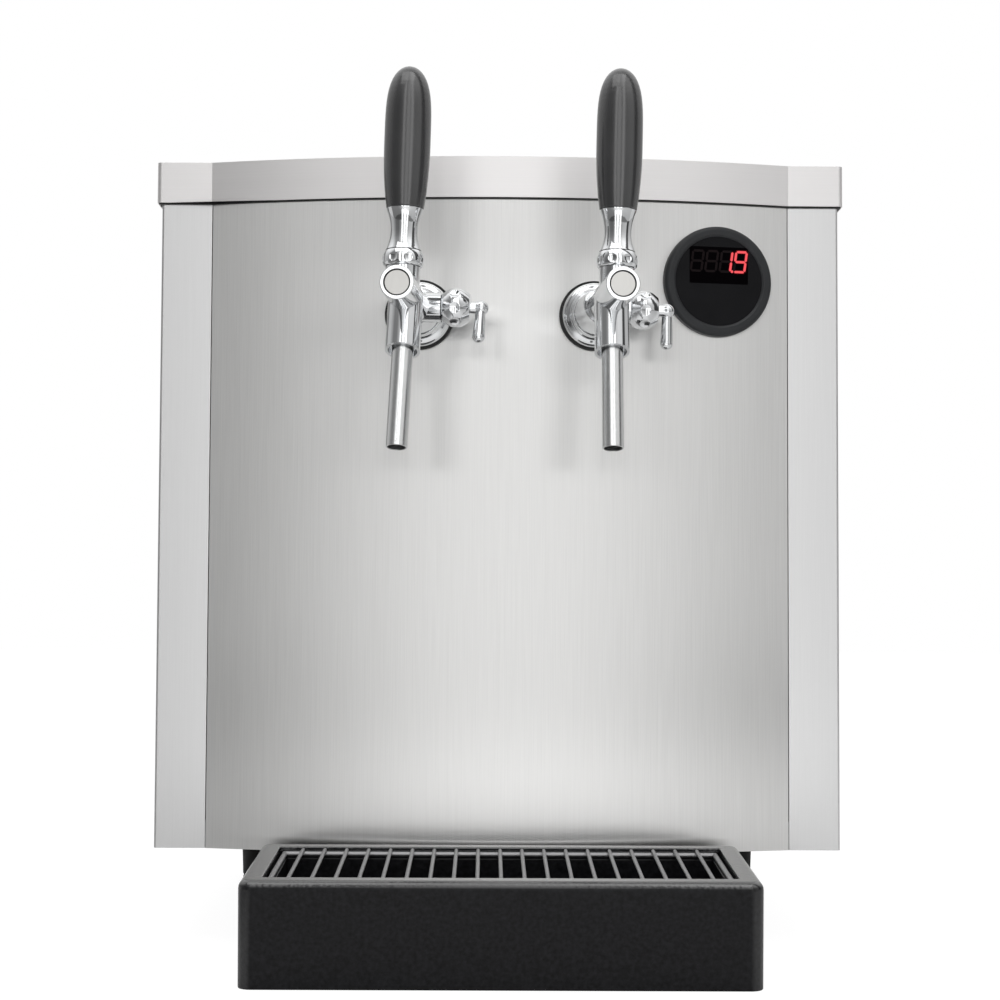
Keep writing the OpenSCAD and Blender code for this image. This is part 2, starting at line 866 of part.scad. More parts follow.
module inlet_fittings() {
  color([0.8, 0.8, 0.82])
    for (x = [-inlet_x, inlet_x])
      translate([x, back_y, inlet_z]) rotate([-90, 0, 0])
        difference() {
          union() {
            translate([0, 0, -sheet_t - inlet_nut_t]) cylinder(h = inlet_nut_t, r = inlet_nut_r, $fn = 6);
            translate([0, 0, -sheet_t - inlet_nut_t - 4]) cylinder(h = 6 + inlet_nut_t, r = inlet_r);
            cylinder(h = 4, r = inlet_nut_r, $fn = 6);
            cylinder(h = inlet_out, r = inlet_stem_r);
          }
          translate([0, 0, -2]) cylinder(h = inlet_out + 3, r = inlet_bore);
        }
}

module mains_inlet() {
  color([0.04, 0.04, 0.04])
    translate([mains_x, back_y, mains_z])
      difference() {
        union() {
          translate([0, -mains_in / 2, 0]) cube([mains_w, mains_in, mains_h], center = true);
          translate([0, frame_t / 2, 0]) cube([mains_w + 5, frame_t, mains_h + 5], center = true);
        }
        translate([0, 0, 0]) cube([mains_w - 4, 30, mains_h - 5], center = true);
      }
  color([0.04, 0.04, 0.04])
    translate([mains_x, back_y, mains_z]) {
      translate([0, -mains_in + 2, 0]) cube([mains_w - 3, 4, mains_h - 4], center = true);
      for (x = [-1, 0, 1])
        translate([7 * x, -mains_in / 2, x == 0 ? 3 : -3]) cube([2, mains_in - 4, 4], center = true);
    }
}

module switch_frame() {
  color([0.05, 0.05, 0.05])
    translate([switch_x, back_y, mains_z])
      difference() {
        union() {
          translate([0, -switch_in / 2, 0]) cube([switch_w, switch_in, switch_h], center = true);
          translate([0, frame_t / 2, 0]) cube([switch_w + 4, frame_t, switch_h + 4], center = true);
        }
        translate([0, 0, 0]) cube([rocker_w + 1, 14, rocker_h + 2.4], center = true);
      }
  color([0.05, 0.05, 0.05])
    translate([switch_x, back_y - 2, mains_z]) rotate([0, 90, 0])
      cylinder(h = rocker_w + 2, r = 1.5, center = true);
}

module switch_rocker() {
  color([0.5, 0.03, 0.03])
    translate([switch_x, back_y - 2, mains_z]) rotate([rocker_angle, 0, 0])
      difference() {
        intersection() {
          translate([0, 2, 0]) cube([rocker_w, 7, rocker_h], center = true);
          translate([0, -9.5, 0]) rotate([0, 90, 0]) cylinder(h = rocker_w + 2, r = 14, center = true);
        }
        rotate([0, 90, 0]) cylinder(h = rocker_w + 4, r = 1.6, center = true);
      }
}

// Thermometer

module meter_bezel() {
  round_r = bezel_out / 2;
  color([0.05, 0.055, 0.06])
    on_front(meter_x, meter_z)
      seated_on_front(press_gap)
        outward()
          rotate_extrude()
            polygon(concat(
              [[meter_body_r + 0.2, -2], [bezel_r, -2]],
              arc_points([bezel_r - round_r, bezel_out - round_r], round_r, 0, 90, 8),
              [[lens_r + 1.5, bezel_out], [lens_r + 0.1, bezel_out - 1], [lens_r + 0.1, bezel_out - 4],
               [meter_body_r + 0.2, bezel_out - 4]]
            ));
}

module meter_lens() {
  color([0.02, 0.02, 0.025])
    on_front(meter_x, meter_z) rod(bezel_out - 4, bezel_out - lens_set, lens_r);
}

module meter_housing() {
  color([0.08, 0.08, 0.08])
    on_front(meter_x, meter_z) rod(-meter_body_in, bezel_out - 4, meter_body_r);
}

module meter_nut() {
  color([0.12, 0.12, 0.12])
    on_front(meter_x, meter_z)
      intersection() {
        difference() {
          rod(-sheet_t - meter_nut_t, 2, meter_nut_r);
          rod(-sheet_t - meter_nut_t - 1, 3, meter_body_r + 0.1);
        }
        translate([0, bow_r, 0])
          cylinder(r = bow_r - sheet_t - press_gap, h = 4 * bezel_r, center = true, $fn = bow_fn);
      }
}

// Tap pieces, drawn at the panel with -Y outward

module tap_gaskets() {
  color([0.02, 0.02, 0.02])
    for (x = tap_xs)
      on_front(x, tap_z)
        difference() {
          rod(press_gap, gasket_t, gasket_r);
          rod(-1, gasket_t + 1, shank_r + 0.1);
        }
}

module tap_flanges() {
  round_r = 4;
  color([0.85, 0.86, 0.87])
    for (x = tap_xs)
      on_front(x, tap_z)
        outward()
          rotate_extrude()
            polygon(concat(
              [[shank_r + 0.1, gasket_t], [flange_r, gasket_t]],
              arc_points([flange_r - round_r, gasket_t + 1.5], round_r, 0, 75, 6),
              [[step_r + 0.8, gasket_t + flange_t], [step_r + 0.8, gasket_t + flange_t + 0.6],
               [step_r, gasket_t + flange_t + 1.2], [step_r - 1, step_out], [shank_r + 0.1, step_out]]
            ));
}

module tap_shanks() {
  color([0.8, 0.8, 0.82])
    for (x = tap_xs)
      on_front(x, tap_z)
        difference() {
          rod(-shank_in, step_out, shank_r);
          rod(-shank_in - 1, step_out + 1, shank_bore);
        }
}

module shank_nuts() {
  color([0.78, 0.7, 0.5])
    for (x = tap_xs)
      on_front(x, tap_z)
        difference() {
          outward() translate([0, 0, -sheet_t - fit - shank_nut_t])
            cylinder(h = shank_nut_t, r = shank_nut_r, $fn = 6);
          rod(-sheet_t - shank_nut_t - 2, 2, shank_r + press_gap);
        }
}

module lever_pins() {
  color("silver")
    for (side = [0, 1])
      at_tap(side)
        translate([0, -handle_out, pivot_up]) rotate([0, 90, 0])
          cylinder(h = 2 * thread_r - 1, r = pin_r, center = true);
}

// Where the spout's axis leaves the barrel, with -Z along the spout
module spout_place() {
  translate([0, -spout_root, 0]) rotate([-spout_lean, 0, 0]) children();
}

module tap_body() {
  color([0.86, 0.87, 0.88])
    difference() {
      union() {
        outward()
          rotate_extrude()
            polygon(concat(
              [[0, step_out + seat_gap], [cone_r, step_out + seat_gap], [cone_r, step_out + 3]],
              [for (i = [1:8])
                let (u = i / 8)
                [barrel_r + (cone_r - barrel_r) * pow(1 - u, 2),
                 step_out + 3 + (cone_out - step_out - 3) * u]],
              [[barrel_r, handle_out + 8]],
              arc_points([cap_r - 0.6, cap_out - 0.6], 0.6, 0, 90, 4),
              [[0, cap_out]]
            ));
        translate([0, -handle_out, 0]) cylinder(h = boss_top, r = barrel_r);
        translate([0, -handle_out, 0]) cylinder(h = thread_top, r = thread_r);
        spout_place()
          difference() {
            translate([0, 0, -holder_len - 4]) cylinder(h = holder_len + 4, r = holder_r);
            translate([0, 0, -holder_len]) rotate([-holder_cut, 0, 0])
              translate([-2 * holder_r, -2 * holder_r, -holder_r])
                cube([4 * holder_r, 4 * holder_r, holder_r]);
          }
        translate([0, -comp_out, 0]) rotate([0, 90, 0]) cylinder(h = side_end, r = side_r);
      }
      rod(step_out - 1, chamber_from + 1, shank_bore);
      rod(chamber_from, chamber_to, chamber_r);
      rod(chamber_to - 1, seat_out + 1, seat_r);
      rod(seat_out, bore_end, bore_r);
      rod(bore_end - 1, cap_out - plug_t, bore_r);
      rod(cap_out - plug_t, cap_out + 1, plug_r);
      translate([-hub_w / 2 - fit, -handle_out - slot_half, 0])
        cube([hub_w + 2 * fit, 2 * slot_half, thread_top + 1]);
      translate([0, -handle_out, pivot_up]) rotate([0, 90, 0])
        cylinder(h = 2 * thread_r + 2, r = pin_r + 0.02, center = true);
      spout_place() {
        translate([0, 0, -holder_len - 4]) cylinder(h = spout_grip + 4, r = spout_r + press_gap);
        translate([0, 0, -holder_len - 4]) cylinder(h = 4 + holder_sink, r = spout_r + holder_sink);
        translate([0, 0, -holder_len]) cylinder(h = holder_len, r = duct_r);
      }
      translate([0, -comp_out, 0]) rotate([0, 90, 0]) cylinder(h = side_end + 1, r = spindle_r + 0.1);
    }
}

module tap_plug() {
  color([0.82, 0.81, 0.79]) {
    rod(cap_out - plug_t, cap_out - plug_t + 1, plug_r - press_gap);
    rod(cap_out - plug_t, cap_out - 0.6, plug_r - plug_groove);
  }
}

module spout() {
  color([0.8, 0.81, 0.82])
    spout_place()
      translate([0, 0, -holder_len + spout_grip - spout_len])
        difference() {
          cylinder(h = spout_len, r = spout_r);
          translate([0, 0, -1]) cylinder(h = spout_len + 2, r = spout_bore);
        }
}

module collar_nut() {
  low = collar_low - pivot_up;
  dimple_r = 6;
  dimple_up = (low + collar_edge) / 2;
  color([0.87, 0.88, 0.89])
    translate([0, -handle_out, pivot_up])
      difference() {
        rotate_extrude()
          polygon(concat(
            [[thread_r + press_gap, low], [collar_r - 1.2, low]],
            [for (i = [0:9])
              let (u = i / 10, z = low + 0.6 + (collar_edge - low - 0.6) * u)
              [collar_r - pow(abs(u - 0.44) / 0.56, 2.2) * (collar_r - collar_edge_r), z]],
            arc_points([0, 0], ball_r, dome_from, dome_to, 4),
            [[0, dome_top], [0, dome_top - 2.5], [thread_r - 2, dome_top - 2.5],
             [thread_r + press_gap, thread_top - pivot_up + 1]]
          ));
        translate([-stem_slot, -8.4, 0]) cube([2 * stem_slot, 8.4 + stem_slot + 0.3, 20]);
        for (a = [0:45:315])
          rotate([0, 0, a + 22.5]) translate([collar_r + dimple_r - 1, 0, dimple_up])
            sphere(r = dimple_r);
      }
}

module lever() {
  color([0.75, 0.75, 0.77])
    translate([0, -handle_out, pivot_up])
      difference() {
        union() {
          translate([0, 0, -tail_len])
            cylinder(h = tail_len + collar_top - pivot_up + ferrule_len + 18, r = stem_r);
          rotate([0, 90, 0]) cylinder(h = hub_w, r = hub_r, center = true);
        }
        rotate([0, 90, 0]) cylinder(h = hub_w + 2, r = pin_r + 0.05, center = true);
      }
}

ferrule_low = sqrt(pow(ball_r + fit, 2) - ferrule_low_r * ferrule_low_r);

module ferrule() {
  steps = 14;
  start = ferrule_low;
  finish = collar_top - pivot_up + ferrule_len;
  color([0.87, 0.88, 0.89])
    translate([0, -handle_out, pivot_up])
      difference() {
        rotate_extrude()
          polygon(concat(
            [[0, start]],
            [for (i = [0:steps]) let (u = i / steps) [ferrule_radius(u), start + (finish - start) * u]],
            [[0, finish]]
          ));
        sphere(r = ball_r + fit);
        cylinder(h = finish + 1, r = stem_r + 0.05);
      }
}

module grip() {
  steps = 30;
  start = collar_top - pivot_up + ferrule_len + 0.1;
  color([0.05, 0.05, 0.055])
    translate([0, -handle_out, pivot_up])
      difference() {
        rotate_extrude()
          polygon(concat(
            [[0, start]],
            [for (i = [0:steps])
              let (u = i < steps / 2 ? i / steps : sin(90 * (i - steps / 2) / (steps / 2)) / 2 + 0.5)
              [grip_radius(u), start + grip_len * u]]
          ));
        translate([0, 0, start - 1]) cylinder(h = 20, r = stem_r + 0.05);
      }
}

module plunger() {
  color([0.8, 0.8, 0.82])
    difference() {
      union() {
        rod(head_from, head_to, head_r);
        rod(head_from, gap_high + 1, neck_r);
        rod(gap_low - drive_t, gap_low, drive_r);
        rod(gap_high, bore_end - 2, plunger_r);
      }
      outward() translate([0, 0, head_mid])
        rotate_extrude() translate([head_r, 0]) circle(r = seal_r + 0.02);
    }
}

module plunger_seal() {
  color([0.02, 0.02, 0.02])
    outward() translate([0, 0, head_mid])
      rotate_extrude() translate([head_r, 0]) circle(r = seal_r);
}

// The dimpled nut that closes the compensator's side port
module bonnet() {
  color([0.87, 0.88, 0.89])
    translate([0, -comp_out, 0])
      difference() {
        rotate([0, 90, 0])
          rotate_extrude()
            polygon(concat(
              [[spindle_r + 0.1, side_end + 0.05], [bonnet_r * 0.6, side_end + 0.05]],
              [for (i = [0:10])
                let (u = i / 10, a = -65 + 130 * u)
                [bonnet_r * (0.42 + 0.58 * cos(a)), side_end + 0.4 + (bonnet_end - side_end - 0.4) * u]],
              [[spindle_r + 0.1, bonnet_end]]
            ));
        for (a = [0:45:315])
          rotate([a + 10, 0, 0])
            translate([(side_end + bonnet_end) / 2 + 0.4, 0, bonnet_r + 7]) sphere(r = 8.3);
      }
}

module compensator_lever(turn) {
  color([0.82, 0.83, 0.84])
    translate([0, -comp_out, 0]) rotate([-turn, 0, 0]) {
      rotate([0, 90, 0]) {
        translate([0, 0, spindle_in]) cylinder(h = knuckle_end - spindle_in - 4, r = spindle_r);
        rotate_extrude()
          polygon(concat(
            [[0, bonnet_end + fit], [knuckle_r - 0.6, bonnet_end + fit], [knuckle_r - 0.6, lever_x - 3]],
            arc_points([0, knuckle_end - knuckle_r - 0.3], knuckle_r + 0.3, 0, 90, 8)
          ));
      }
      translate([lever_x, 0, -lever_len]) cylinder(h = lever_len, r1 = lever_tip_r, r2 = lever_root_r);
      translate([lever_x, 0, -lever_len]) sphere(r = lever_tip_r);
    }
}

// Drip tray and its wire grid

// Leans the tray's pieces back about the tray's lower front edge
module tray_place() {
  translate([tray_offset, tray_front, 0])
    rotate([tray_slope, 0, 0])
      translate([0, tray_d / 2, 0])
        children();
}

module drip_tray() {
  inner_w = tray_w - 2 * rim_w;
  inner_d = tray_d - 2 * rim_w;
  well_w = inner_w - 2 * ledge_w;
  well_d = inner_d - 2 * ledge_w;
  sink = tray_d * sin(tray_slope) + 2;
  color([0.06, 0.06, 0.065])
    difference() {
      tray_place()
        difference() {
          translate([0, 0, -sink])
            soft_top_block(tray_w, tray_d, tray_h + sink, tray_corner, rear_corner, tray_edge);
          translate([0, 0, tray_h - ledge_drop]) linear_extrude(ledge_drop + 1)
            round_rectangle(inner_w, inner_d, 2);
          translate([0, 0, tray_floor]) linear_extrude(tray_h)
            round_rectangle(well_w, well_d, well_corner);
          translate([0, 0, -sink - 1]) linear_extrude(tray_h - ledge_drop - tray_wall + sink + 1)
            difference() {
              tray_plan(
                tray_w - 2 * tray_wall, tray_d - 2 * tray_wall,
                tray_corner - tray_wall, rear_corner - tray_wall
              );
              round_rectangle(well_w + 2 * tray_wall, well_d + 2 * tray_wall, well_corner + tray_wall);
            }
        }
      translate([-tray_w, tray_front - tray_d, -tray_h]) cube([2 * tray_w, 3 * tray_d, tray_h]);
    }
}

module drip_grid() {
  low = tray_h - ledge_drop + fit + frame_r;
  high = low + frame_r + wire_r - 0.5;
  pitch = (grid_w - 2 * frame_r - 2 * wire_margin) / (wire_count - 1);
  color([0.55, 0.55, 0.56])
    tray_place() {
      for (y = [-1, 1])
        translate([0, y * (grid_d / 2 - frame_r - 0.4), low]) rotate([0, 90, 0])
          cylinder(h = grid_w - 2 * frame_r, r = frame_r, center = true);
      for (x = [-1, 1])
        translate([x * (grid_w / 2 - frame_r - 0.4), 0, low]) rotate([90, 0, 0])
          cylinder(h = grid_d - 2 * frame_r, r = frame_r, center = true);
      for (i = [0:wire_count - 1])
        translate([(i - (wire_count - 1) / 2) * pitch, 0, high]) rotate([90, 0, 0])
          cylinder(h = grid_d - 2, r = wire_r, center = true);
    }
}

// Places a tap's pieces at its shank, leaned, tilted and turned out about the flange's face
module at_tap(side) {
  on_front(tap_xs[side], tap_z)
    translate([0, -step_out, 0]) rotate([-tap_tilt, 0, (2 * side - 1) * tap_splay])
      translate([0, step_out, 0]) rotate([0, tap_lean, 0]) children();
}

// The two taps are the same pieces at two places
module left() {
  at_tap(0) children();
}

module right() {
  at_tap(1) children();
}

base_pan();
feet();
foot_pads();
foot_nuts();
front_panel();
side_panel_left();
side_panel_right();
rear_panel();
lid();
lid_seal();
cabinet_screws();
compressor();
compressor_grommets();
condenser();
fan_shroud();
fan_motor();
fan_impeller();
cold_block();
cold_block_jacket();
product_line_left();
product_line_right();
refrigerant_pipes();
filter_drier();
inlet_fittings();
mains_inlet();
switch_frame();
switch_rocker();
meter_bezel();
meter_lens();
meter_housing();
meter_nut();
tap_gaskets();
tap_flanges();
tap_shanks();
shank_nuts();
lever_pins();
left() tap_body();  // left_tap_body
left() tap_plug();  // left_tap_plug
left() spout();  // left_spout
left() collar_nut();  // left_collar_nut
left() lever();  // left_lever
left() ferrule();  // left_ferrule
left() grip();  // left_grip
left() plunger();  // left_plunger
left() plunger_seal();  // left_plunger_seal
left() bonnet();  // left_bonnet
left() compensator_lever(left_turn);  // left_compensator_lever
right() tap_body();  // right_tap_body
right() tap_plug();  // right_tap_plug
right() spout();  // right_spout
right() collar_nut();  // right_collar_nut
right() lever();  // right_lever
right() ferrule();  // right_ferrule
right() grip();  // right_grip
right() plunger();  // right_plunger
right() plunger_seal();  // right_plunger_seal
right() bonnet();  // right_bonnet
right() compensator_lever(0);  // right_compensator_lever
drip_tray();
drip_grid();
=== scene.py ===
"""Draft beer cooler: finishes, fine pieces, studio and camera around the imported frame."""

import json
from math import asin, pi, radians, sin, tan

import bpy
from mathutils import Matrix, Vector


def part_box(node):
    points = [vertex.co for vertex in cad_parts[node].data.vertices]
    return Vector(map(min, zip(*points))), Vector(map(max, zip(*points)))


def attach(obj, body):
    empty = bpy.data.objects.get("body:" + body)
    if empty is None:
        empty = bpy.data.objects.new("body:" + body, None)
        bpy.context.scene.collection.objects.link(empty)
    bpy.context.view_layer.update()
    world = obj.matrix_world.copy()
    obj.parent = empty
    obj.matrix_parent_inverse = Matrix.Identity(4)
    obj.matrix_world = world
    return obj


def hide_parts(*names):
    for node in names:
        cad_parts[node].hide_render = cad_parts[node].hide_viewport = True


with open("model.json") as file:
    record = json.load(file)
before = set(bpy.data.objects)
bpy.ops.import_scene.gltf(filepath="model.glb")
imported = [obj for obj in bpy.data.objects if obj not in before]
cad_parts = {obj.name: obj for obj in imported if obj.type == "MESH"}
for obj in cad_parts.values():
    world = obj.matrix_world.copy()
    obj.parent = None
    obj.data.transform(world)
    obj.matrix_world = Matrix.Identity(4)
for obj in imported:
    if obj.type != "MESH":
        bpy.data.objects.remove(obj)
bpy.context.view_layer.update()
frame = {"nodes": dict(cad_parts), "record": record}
NODES = frame["nodes"]
RECORD = frame["record"]
SLOT_OF = {part["node"]: part["material_slot"] for part in RECORD["subparts"]}
BODY_OF = {node: body for body, members in RECORD["behaviour"]["bodies"].items() for node in members}
SIDES = ("left", "right")
WHITE = (1.0, 1.0, 1.0, 1.0)


class Nodes:
    """A short way to add shader nodes and wire them."""

    def __init__(self, tree):
        self.tree = tree
        tree.nodes.clear()

    def add(self, kind, **settings):
        node = self.tree.nodes.new("ShaderNode" + kind)
        for key, value in settings.items():
            setattr(node, key, value)
        return node

    def feed(self, target, value):
        """Wires a socket to another one, or gives it a plain value."""
        if isinstance(value, bpy.types.NodeSocket):
            self.tree.links.new(value, target)
        else:
            target.default_value = value

    def math(self, operation, *values):
        node = self.add("Math", operation=operation)
        for socket, value in zip(node.inputs, values):
            self.feed(socket, value)
        return node.outputs[0]

    def split(self, place):
        node = self.add("SeparateXYZ")
        self.feed(node.inputs[0], place)
        return node.outputs

    def share(self, value, whole):
        """A value that runs from minus to plus half of a whole, as a share from 0 to 1."""
        return self.math("ADD", self.math("DIVIDE", value, whole), 0.5)

    def span(self, source, given, wanted):
        """A value carried from one range over to another, and held at its ends."""
        node = self.add("MapRange")
        for name, value in zip(("From Min", "From Max", "To Min", "To Max"), (*given, *wanted)):
            node.inputs[name].default_value = value
        self.feed(node.inputs["Value"], source)
        return node.outputs["Result"]

    def ramp(self, source, stops):
        node = self.add("ValToRGB")
        elements = node.color_ramp.elements
        while len(elements) < len(stops):
            elements.new(0.5)
        for element, (place, shade) in zip(elements, stops):
            element.position = place
            element.color = (*shade, 1.0) if isinstance(shade, tuple) else (shade, shade, shade, 1.0)
        self.feed(node.inputs["Fac"], source)
        return node.outputs["Color"]

    def noise(self, place, scale, detail):
        node = self.add("TexNoise")
        for name, value in (("Vector", place), ("Scale", scale), ("Detail", detail)):
            self.feed(node.inputs[name], value)
        return node.outputs["Fac"]

    def cells(self, place, scale):
        node = self.add("TexVoronoi", feature="SMOOTH_F1")
        for name, value in (("Vector", place), ("Scale", scale)):
            self.feed(node.inputs[name], value)
        return node.outputs["Distance"]

    def blend(self, share, first, second, kind="MIX"):
        node = self.add("Mix", data_type="RGBA", blend_type=kind)
        for name, value in (("Factor", share), ("A", first), ("B", second)):
            self.feed(node.inputs[name], value)
        return node.outputs["Result"]

    def blend_shaders(self, share, first, second):
        node = self.add("MixShader")
        for socket, value in zip(node.inputs, (share, first, second)):
            self.feed(socket, value)
        return node.outputs[0]

    def end(self, kind, shader):
        self.feed(self.add(kind).inputs["Surface"], shader)


# Studio: camera, world, lamps and floor

CAMERA_PLACE = Vector((-0.00755, -1.48044, 0.21679))
CAMERA_PITCH = radians(3.065)
CAMERA_YAW = radians(-0.357)
CAMERA_ROLL = radians(-0.270)
CAMERA_LENS, CAMERA_SENSOR = 73.54, 36.0
CAMERA_REACH = 60.0


def place_camera():
    data = bpy.data.cameras.new("photo_camera")
    data.sensor_width = CAMERA_SENSOR
    data.lens = CAMERA_LENS
    data.clip_end = CAMERA_REACH
    camera = bpy.data.objects.new("photo_camera", data)
    bpy.context.scene.collection.objects.link(camera)
    turn = (
        Matrix.Rotation(CAMERA_YAW, 3, "Z")
        @ Matrix.Rotation(CAMERA_PITCH, 3, "X")
        @ Matrix.Rotation(CAMERA_ROLL, 3, "Y")
    )
    right, ahead, up = turn.col[0], turn.col[1], turn.col[2]
    axes = Matrix((right, up, -ahead)).transposed()
    camera.matrix_world = Matrix.Translation(CAMERA_PLACE) @ axes.to_4x4()
    bpy.context.scene.camera = camera


# Brightness round the room, by turn: a half is straight before the machine, more is to the right, and both
# ends are behind it
ROOM_TURN = (
    (0.00, 0.70), (0.222, 0.50), (0.306, 0.17), (0.375, 0.15), (0.444, 0.40), (0.467, 0.40),
    (0.472, 0.10), (0.528, 0.10), (0.533, 0.40), (0.556, 0.40), (0.625, 0.60), (0.700, 0.66),
    (0.712, 0.06), (0.760, 0.06), (0.772, 0.50), (1.00, 0.70),
)
# Brightness of the room from straight down to straight up
ROOM_RISE = (
    (0.0, 0.75), (0.45, 0.98), (0.515, 0.92), (0.58, 1.0), (0.65, 1.3), (0.72, 2.0), (0.85, 2.1), (1.0, 1.6),
)


def build_world():
    """A white backdrop for the camera, and a room of dark and bright walls for light and reflections."""
    world = bpy.data.worlds.new("studio")
    bpy.context.scene.world = world
    world.use_nodes = True
    n = Nodes(world.node_tree)
    way = n.split(n.add("TexCoord").outputs["Generated"])
    turn = n.math("ARCTAN2", way["X"], n.math("MULTIPLY", way["Y"], -1.0))
    rise = n.math("ARCSINE", way["Z"])
    round_room = n.ramp(n.share(turn, 2.0 * pi), ROOM_TURN)
    up_room = n.ramp(n.share(rise, pi), ROOM_RISE)
    room = n.add("Background")
    n.feed(room.inputs["Color"], n.blend(1.0, round_room, up_room, "MULTIPLY"))
    white = n.add("Background")
    n.feed(white.inputs["Color"], WHITE)
    seen = n.add("LightPath").outputs["Is Camera Ray"]
    n.end("OutputWorld", n.blend_shaders(seen, room.outputs[0], white.outputs[0]))


# The softbox over the machine: its place, the point it faces, its two sides and its power
TOP_PLACE, TOP_AIM = (-0.15, -0.75, 1.75), (0.0, -0.1, 0.35)
TOP_SIDES, TOP_POWER = (1.5, 0.9), 6.0
# Upright light boxes before the machine, by their left and right edges
FRONT_BOXES = (("left_box", -0.42, -0.21), ("middle_box", -0.14, 0.15), ("right_box", 0.22, 0.46))
BOX_Y, BOX_MIDDLE, BOX_TALL = -1.20, 0.75, 1.50
BOX_RADIANCE = 1.35


def add_lamp(name, place, aim, sides, power):
    data = bpy.data.lights.new(name, "AREA")
    data.shape = "RECTANGLE"
    data.size, data.size_y = sides
    data.energy = power
    lamp = bpy.data.objects.new(name, data)
    bpy.context.scene.collection.objects.link(lamp)
    lamp.location = place
    lamp.rotation_euler = (Vector(aim) - Vector(place)).to_track_quat("-Z", "Y").to_euler()


def build_lamps():
    add_lamp("top_softbox", TOP_PLACE, TOP_AIM, TOP_SIDES, TOP_POWER)
    for name, left, right in FRONT_BOXES:
        middle, wide = (left + right) / 2, right - left
        place, aim = (middle, BOX_Y, BOX_MIDDLE), (middle, 0.0, BOX_MIDDLE)
        add_lamp(name, place, aim, (wide, BOX_TALL), BOX_RADIANCE * pi * wide * BOX_TALL)


FLOOR_SIDE, FLOOR_MIDDLE = 14.0, (0.0, 2.0, 0.0)
# The floor's painted shade, a darker colour seen only in light and reflections, from its near edge to its far
# edge
FLOOR_PAINTED_SHADE = ((0.0, 0.34), (0.235, 0.34), (0.245, 0.83), (1.0, 0.83))
# A second painted shade over it from left to right, darker on the left so that the machine reflects a darker
# floor there, and how much of that counts from the near edge to the far edge
FLOOR_PAINTED_SHADE_ACROSS = (
    (0.0, 0.30), (0.4464, 0.30), (0.4679, 0.38), (0.4775, 0.78), (0.484, 1.0), (0.50, 1.0), (0.518, 1.0),
    (0.532, 0.80), (0.5536, 0.78), (1.0, 0.78),
)
FLOOR_PAINTED_SHADE_COUNTS = ((0.0, 1.0), (0.343, 1.0), (0.357, 0.0), (1.0, 0.0))
# What the camera sees: a pale colour that takes the shadow, and white over a share of it
FLOOR_PALE = (0.86, 0.86, 0.86, 1.0)
FLOOR_WHITE, FLOOR_WHITE_SHARE = 1.12, 0.84


def build_floor():
    bpy.ops.object.select_all(action="DESELECT")
    bpy.ops.mesh.primitive_plane_add(size=FLOOR_SIDE, location=FLOOR_MIDDLE)
    floor = bpy.context.object
    floor.name = "studio_floor"
    material = bpy.data.materials.new("pale_floor")
    material.use_nodes = True
    n = Nodes(material.node_tree)
    place = n.split(n.add("TexCoord").outputs["Object"])
    back = n.share(place["Y"], FLOOR_SIDE)
    across = n.share(place["X"], FLOOR_SIDE)
    counts = n.ramp(back, FLOOR_PAINTED_SHADE_COUNTS)
    # Painted shade: for light and reflections the floor's colour is darkened in patches, while the camera
    # sees only the pale colour
    shade = n.blend(counts, n.ramp(back, FLOOR_PAINTED_SHADE), n.ramp(across, FLOOR_PAINTED_SHADE_ACROSS), "MULTIPLY")
    seen = n.add("LightPath").outputs["Is Camera Ray"]
    matte = n.add("BsdfDiffuse")
    n.feed(matte.inputs["Color"], n.blend(seen, shade, FLOOR_PALE))
    white = n.add("Emission")
    n.feed(white.inputs["Color"], WHITE)
    n.feed(white.inputs["Strength"], FLOOR_WHITE)
    cover = n.math("MULTIPLY", seen, FLOOR_WHITE_SHARE)
    n.end("OutputMaterial", n.blend_shaders(cover, matte.outputs[0], white.outputs[0]))
    floor.data.materials.append(material)


# Finishes

# Grains, by how often they repeat along X, Y and Z
EVEN = (60.0, 60.0, 60.0)
UPRIGHT = (1400.0, 1400.0, 18.0)
ACROSS = (5.0, 5.0, 1400.0)
# The part of a noise's range that is used, its detail, and the depth of a full bump
NOISE_RANGE = (0.3, 0.7)
GRAIN_DETAIL, PIT_DETAIL = 4.0, 3.0
BUMP_DEPTH = 0.0005
SMOOTHEST, ROUGHEST = 0.02, 1.0


